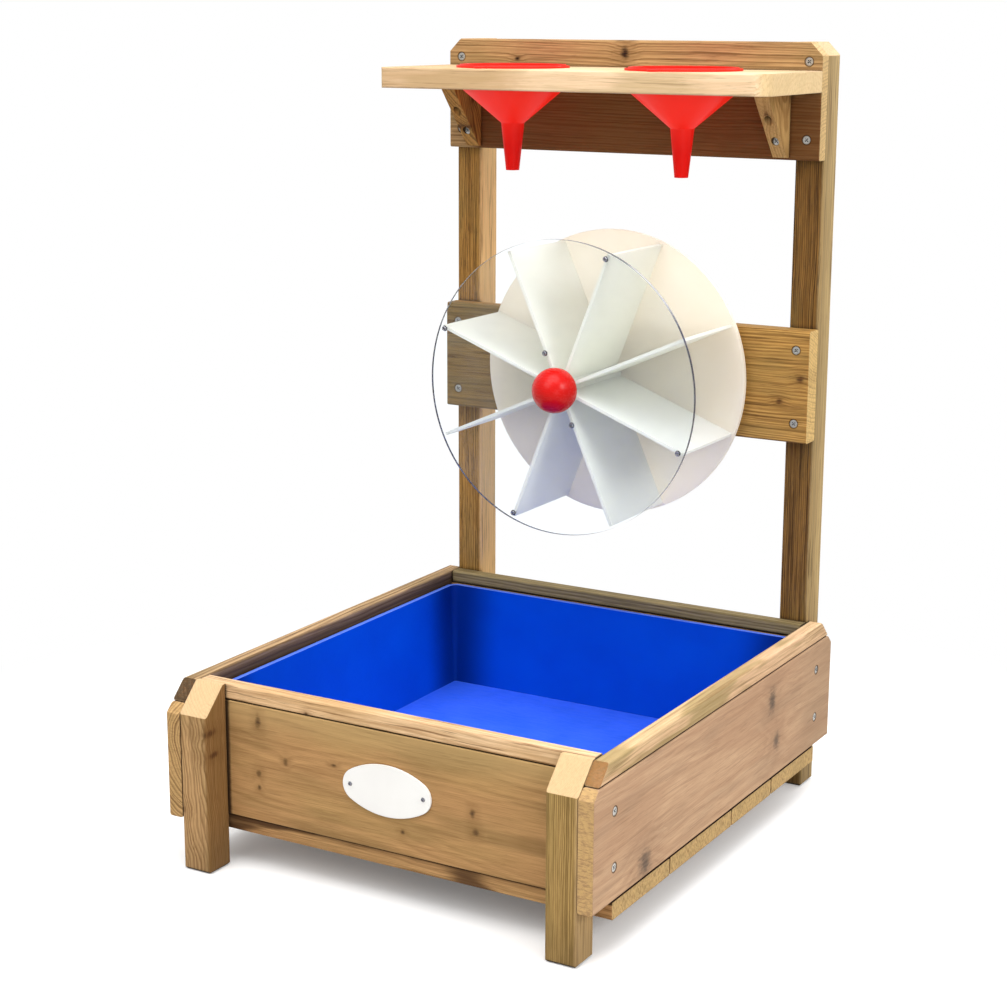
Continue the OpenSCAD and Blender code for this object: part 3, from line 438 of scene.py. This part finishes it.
for index in range(4):
    timber("floor_slat_%d" % (index + 1), "X", light=srgb(208, 164, 110), dark=srgb(108, 72, 38),
           ring=3.8, pith=(20.0 - 12.0 * index, 46.0 - 9.0 * index), slope=(0.01, 0.02), wave=5.0,
           contrast=0.55, lines=0.5, stain=(srgb(70, 44, 26), 0.85), blotch=(0.46, 0.55),
           tint=(srgb(200, 152, 104), 0.5), end=srgb(206, 174, 118), speckle=0.6, rings=0.16,
           # Painted shadow of the front panel's overhang along the top of each slat's front.
           fades=[("Z", 46.8, 48.6, GAP_SHADE, 0.9)], grime_and_shade_reach=0.004, seed=40.0 + 2.0 * index)
timber("rail_dowels", "Z", light=srgb(226, 190, 140), dark=srgb(186, 144, 92), ring=2.4, seed=50.0)


def metal(name, colour, low, high, shine=0.5, reach=0.0004):
    """Plated steel: faint cloudy plating, fine scratches, painted shade with some grime in the recesses and
    round the heads, and painted highlights on the edges.
    """
    g = Graph(name)
    spot = g.place()
    cloud = g.noise(spot, (0.5, 0.5, 0.5), 2.0, 3.0, 0.6)
    scratch = g.noise(spot, (9.0, 1.2, 9.0), 5.0, 2.0, 0.6)
    tone = g.mix(g.span(cloud, 0.35, 0.7, 0.0, 0.4), colour, srgb(120, 118, 112))
    edge_wear_and_sheen, rounded = g.edge(reach)
    # Painted highlight on the edges, as strong as shine.
    tone = g.mix(g.math("MULTIPLY", edge_wear_and_sheen, shine), tone, srgb(240, 240, 244))
    # Painted shade, with some grime, in the recess and round the head.
    tone = g.mix(g.math("MULTIPLY", g.joint(0.0022), 0.9), tone, srgb(26, 22, 18))
    g.surface(Base_Color=tone, Metallic=1.0, Roughness=g.span(scratch, 0.3, 0.75, low, high),
              Normal=g.bump(scratch, 0.15, 0.0001, rounded))
    return g.mat


def plastic(name, colour, deep, gloss=(0.28, 0.42), grain=0.9, relief=0.08, edge_wear_and_sheen_share=0.35, **more):
    """Moulded plastic: slow colour drift, a fine moulding grain, scuffs that dull the gloss."""
    g = Graph(name)
    spot = g.place()
    drift = g.noise(spot, (0.012, 0.012, 0.012), 3.0, 3.0, 0.55)
    fine = g.noise(spot, (grain, grain, grain), 6.0, 2.0, 0.5)
    scuff = g.noise(spot, (0.05, 0.3, 0.3), 8.0, 4.0, 0.7)
    tone = g.mix(g.span(drift, 0.3, 0.7), colour, deep)
    edge_wear_and_sheen, rounded = g.edge(0.0008)
    # Edges paler: partly rubbed, partly a painted highlight.
    tone = g.mix(g.math("MULTIPLY", edge_wear_and_sheen, edge_wear_and_sheen_share), tone, tuple(0.6 * c + 0.4 for c in colour[:3]) + (1.0,))
    g.surface(Base_Color=tone, Roughness=g.span(scuff, 0.35, 0.75, gloss[0], gloss[1]),
              Normal=g.bump(fine, relief, 0.0002, rounded), **more)
    return g


def clear_sheet(name):
    """Clear acrylic with a thin bluish haze and a cut edge painted dark blue-grey for the dark reflections it
    shows, open to lamp and bounced light.
    """
    g = Graph(name)
    smear = g.noise(g.place(), (0.03, 0.03, 0.05), 4.0, 4.0, 0.65)
    g.surface(Base_Color=(0.90, 0.935, 0.945, 1.0), Transmission_Weight=1.0, IOR=1.25,
              Roughness=g.span(smear, 0.45, 0.8, 0.0, 0.012))
    haze = g.add("ShaderNodeBsdfDiffuse")
    g.feed(haze.inputs["Color"], srgb(206, 218, 236))
    sheet = g.blend(g.span(smear, 0.3, 0.8, 0.0, 0.02), g.bsdf.outputs[0], haze.outputs[0])
    through = g.add("ShaderNodeBsdfTransparent")
    path = g.add("ShaderNodeLightPath").outputs
    soft_light = g.math("MAXIMUM", path["Is Shadow Ray"], path["Is Diffuse Ray"])
    sheet = g.blend(soft_light, sheet, through.outputs[0])
    # The cut edge, painted dark blue-grey in place of its dark reflections.
    painted_dark_edge = g.add("ShaderNodeBsdfPrincipled")
    g.feed(painted_dark_edge.inputs["Base Color"], g.mix(g.span(smear, 0.4, 0.7), srgb(38, 40, 68), srgb(70, 74, 102)))
    g.feed(painted_dark_edge.inputs["Roughness"], 0.25)
    facing = g.math("ABSOLUTE", g.split(g.normal())[1])
    g.show(g.blend(g.span(facing, 0.6, 0.3, 0.0, 0.92), sheet, painted_dark_edge.outputs[0]))
    return g.mat


def funnel_red():
    """The funnels' red: light comes through the cone, and the spout is deeper in tone."""
    g = plastic("red_plastic", srgb(255, 60, 46), srgb(255, 50, 36), relief=0.06, Specular_IOR_Level=0.28)
    deep = g.span(g.split(g.place())[2], 690.0, 650.0)
    g.surface(Base_Color=g.mix(deep, g.colour(), srgb(236, 16, 0)))
    return g.see_through(g.mix(deep, srgb(255, 110, 92), srgb(250, 60, 40)), 0.5)


def tub_blue():
    """The tub's blue, with painted light and shade: paler on faces that face up, a painted highlight on the
    lip, painted shade in the inside corners and under the rails.
    """
    g = plastic("blue_plastic", srgb(0, 77, 200), srgb(0, 70, 192), gloss=(0.34, 0.5), grain=1.1,
                relief=0.10, edge_wear_and_sheen_share=0.15, Specular_IOR_Level=0.12)
    spot = g.place()
    z = g.split(spot)[2]
    lip_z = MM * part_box("tub")[1][2]
    # Painted light: faces that face up, the floor above all, a paler blue in soft patches.
    level = g.span(g.split(g.normal())[2], 0.6, 0.95)
    haze = g.span(g.noise(spot, (0.02, 0.02, 0.02), 1.0, 4.0, 0.6), 0.3, 0.7, 0.55, 0.85)
    tone = g.mix(g.math("MULTIPLY", level, haze), g.colour(), srgb(64, 112, 255))

    # Painted shade in the inside corners, on inner faces only.
    plan = (1.0, 1.0, 0.0)
    inside_corner = (202.0, 210.0, 0.0)
    off = g.vector("SUBTRACT", g.vector("ABSOLUTE", spot), inside_corner)
    from_corner = g.vector("LENGTH", g.vector("MULTIPLY", off, plan))
    outward = g.vector("DOT_PRODUCT", g.normal(), g.vector("MULTIPLY", spot, plan))
    corner = g.math("MULTIPLY", g.span(from_corner, 64.0, 12.0, 0.0, 0.75), g.span(outward, 0.0, -60.0))
    tone = g.mix(corner, tone, srgb(0, 26, 92))

    # A painted highlight along the top of the lip.
    painted_lip_highlight = g.math("MULTIPLY", level, g.span(z, lip_z - 3.0, lip_z - 1.0, 0.0, 0.28))
    tone = g.mix(painted_lip_highlight, tone, srgb(150, 182, 255))
    # Painted shade on the lip's top where the rails overhang it.
    near_lip = g.span(z, lip_z - 8.0, lip_z - 3.0, 0.0, 0.9)
    painted_rail_shadow = g.math("MULTIPLY", g.joint(0.012), near_lip)
    g.surface(Base_Color=g.mix(painted_rail_shadow, tone, srgb(0, 18, 60)))
    return g.mat


zinc = metal("zinc_steel", srgb(176, 174, 168), low=0.24, high=0.44)
dress(["side_board_screws", "leg_screws", "upright_screws", "slat_screws", "back_board_screws",
       "wheel_board_screws", "shelf_screws", "bracket_screws", "axle_bolt", "axle_nut", "axle_washers"], zinc)
# A dark base colour that paints in the dark reflections of chrome heads.
dress(["front_disc_screws", "rear_disc_screws", "plate_pins"],
      metal("steel_painted_dark_reflection", srgb(70, 72, 86), low=0.12, high=0.22, shine=0.9, reach=0.0009))
dress(["oval_plate"],
      plastic("plate_white", srgb(250, 250, 248), srgb(245, 244, 242), gloss=(0.3, 0.45), grain=1.4,
              relief=0.04).mat)
dress(["ball_knob"],
      plastic("red_ball", srgb(206, 12, 6), srgb(190, 8, 4), gloss=(0.22, 0.34), grain=0.6, relief=0.05,
              Specular_IOR_Level=0.22).mat)
dress(["front_disc"], clear_sheet("clear_acrylic"))
cream = plastic("cream_plastic", srgb(254, 250, 241), srgb(253, 246, 233), gloss=(0.35, 0.5))
dress(["rear_disc"], cream.see_through(srgb(255, 250, 240), 0.38))
white = plastic("white_plastic", srgb(251, 252, 247), srgb(246, 248, 241), gloss=(0.34, 0.5))
dress(["vane_%d" % i for i in range(1, 9)] + ["hub"], white.see_through(srgb(252, 252, 246), 0.40))
dress(["front_bush", "rear_bush"],
      plastic("bush_nylon", srgb(60, 60, 60), srgb(48, 48, 50), gloss=(0.4, 0.55)).mat)
dress(["left_funnel", "right_funnel"], funnel_red())
dress(["tub"], tub_blue())


# Camera, fitted to the photograph.
YAW, PITCH, ROLL = math.radians(30.18), math.radians(13.30), math.radians(0.20)
FOCAL_PX, IMAGE_PX = 2072.39, 1007.0
CAMERA_AT = (0.96835, -1.69286, 0.78758)
forward = Vector((-math.sin(YAW) * math.cos(PITCH), math.cos(YAW) * math.cos(PITCH), -math.sin(PITCH)))
level = Vector((math.cos(YAW), math.sin(YAW), 0.0))
rise = level.cross(forward)
right = level * math.cos(ROLL) + rise * math.sin(ROLL)
up = rise * math.cos(ROLL) - level * math.sin(ROLL)
lens = bpy.data.cameras.new("camera")
lens.sensor_width = 36.0
lens.lens = FOCAL_PX / IMAGE_PX * lens.sensor_width
lens.clip_start, lens.clip_end = 0.05, 50.0
camera = bpy.data.objects.new("camera", lens)
turn = Matrix((right, up, -forward)).transposed().to_4x4()
camera.matrix_world = Matrix.Translation(CAMERA_AT) @ turn
scene.collection.objects.link(camera)
scene.camera = camera


def soft_box(name, place, target, size, watts):
    """A round lamp of the given diameter, aimed at the target."""
    data = bpy.data.lights.new(name, "AREA")
    data.shape, data.size, data.energy = "DISK", size, watts
    lamp = bpy.data.objects.new(name, data)
    lamp.location = place
    lamp.rotation_euler = (Vector(target) - Vector(place)).to_track_quat("-Z", "Y").to_euler()
    scene.collection.objects.link(lamp)


soft_box("top_box", (0.2, -0.7, 2.7), (0.0, 0.0, 0.2), size=2.2, watts=38.0)
soft_box("right_box", (2.4, -0.6, 1.7), (0.0, 0.0, 0.35), size=1.2, watts=30.0)
soft_box("front_box", (-0.6, -2.2, 2.2), (0.0, 0.0, 0.3), size=1.8, watts=22.0)
soft_box("back_box", (0.5, 2.2, 1.5), (0.0, 0.1, 0.5), size=1.4, watts=24.0)
soft_box("low_box", (1.5, -1.8, 0.45), (0.0, 0.1, 0.45), size=0.9, watts=4.5)


def white_room(horizon, zenith):
    """White to the eye, in gloss and through glass; soft light that falls off to the horizon for the rest."""
    world = bpy.data.worlds.new("room")
    scene.world = world
    world.use_nodes = True
    tree = world.node_tree
    tree.nodes.clear()
    out = tree.nodes.new("ShaderNodeOutputWorld")
    seen = tree.nodes.new("ShaderNodeBackground")
    fill = tree.nodes.new("ShaderNodeBackground")
    blend = tree.nodes.new("ShaderNodeMixShader")
    tree.links.new(direct_view(tree), blend.inputs[0])
    seen.inputs["Color"].default_value = (1.0, 1.0, 1.0, 1.0)
    tree.links.new(glass_gain(tree), seen.inputs["Strength"])
    fill.inputs["Color"].default_value = (1.0, 0.99, 0.975, 1.0)
    towards = tree.nodes.new("ShaderNodeTexCoord")
    parts = tree.nodes.new("ShaderNodeSeparateXYZ")
    fall = tree.nodes.new("ShaderNodeMapRange")
    tree.links.new(towards.outputs["Generated"], parts.inputs[0])
    tree.links.new(parts.outputs["Z"], fall.inputs["Value"])
    fall.inputs["To Min"].default_value = horizon
    fall.inputs["To Max"].default_value = zenith
    tree.links.new(fall.outputs[0], fill.inputs["Strength"])
    tree.links.new(fill.outputs[0], blend.inputs[1])
    tree.links.new(seen.outputs[0], blend.inputs[2])
    tree.links.new(blend.outputs[0], out.inputs["Surface"])


def direct_view(tree):
    """1 for camera, mirror and glass rays, else 0."""
    path = tree.nodes.new("ShaderNodeLightPath")
    both = tree.nodes.new("ShaderNodeMath")
    every = tree.nodes.new("ShaderNodeMath")
    both.operation = every.operation = "MAXIMUM"
    tree.links.new(path.outputs["Is Camera Ray"], both.inputs[0])
    tree.links.new(path.outputs["Is Glossy Ray"], both.inputs[1])
    tree.links.new(both.outputs[0], every.inputs[0])
    tree.links.new(path.outputs["Is Transmission Ray"], every.inputs[1])
    return every.outputs[0]


def glass_gain(tree):
    """1, but more through the clear disc, so that the white room stays white behind its tint."""
    path = tree.nodes.new("ShaderNodeLightPath")
    glass = tree.nodes.new("ShaderNodeMath")
    glass.operation = "SUBTRACT"
    tree.links.new(path.outputs["Is Transmission Ray"], glass.inputs[0])
    tree.links.new(path.outputs["Is Diffuse Ray"], glass.inputs[1])
    gain = tree.nodes.new("ShaderNodeMapRange")
    tree.links.new(glass.outputs[0], gain.inputs["Value"])
    gain.inputs["To Min"].default_value = 1.0
    gain.inputs["To Max"].default_value = 1.15
    return gain.outputs[0]


white_room(horizon=0.17, zenith=1.2)


def pale_floor():
    """A large white floor that keeps the toy's shadow near it and runs out to plain white."""
    half = 6.0
    corners = [(-half, -half, 0), (half, -half, 0), (half, half, 0), (-half, half, 0)]
    mesh = bpy.data.meshes.new("floor")
    mesh.from_pydata(corners, [], [(0, 1, 2, 3)])
    floor = bpy.data.objects.new("floor", mesh)
    scene.collection.objects.link(floor)
    g = Graph("pale_floor")
    spot = g.place()
    grain = g.noise(spot, (0.004, 0.004, 0.004), 1.0, 2.0)
    seen = direct_view(g.tree)
    white = g.mix(g.span(grain, 0.3, 0.7), srgb(245, 245, 245), srgb(248, 248, 248))
    g.surface(Base_Color=g.mix(seen, srgb(178, 176, 172), white), Roughness=0.9,
              Specular_IOR_Level=0.0, Emission_Color=(1.0, 1.0, 1.0, 1.0),
              Emission_Strength=g.math("MULTIPLY", seen, 0.12))
    beyond = g.add("ShaderNodeEmission")
    g.feed(beyond.inputs["Strength"], glass_gain(g.tree))
    shadow_reach = (420.0, 800.0)
    far = g.math("MULTIPLY", g.span(g.vector("LENGTH", spot), *shadow_reach), seen)
    g.show(g.blend(far, g.bsdf.outputs[0], beyond.outputs[0]))
    floor.data.materials.append(g.mat)


pale_floor()
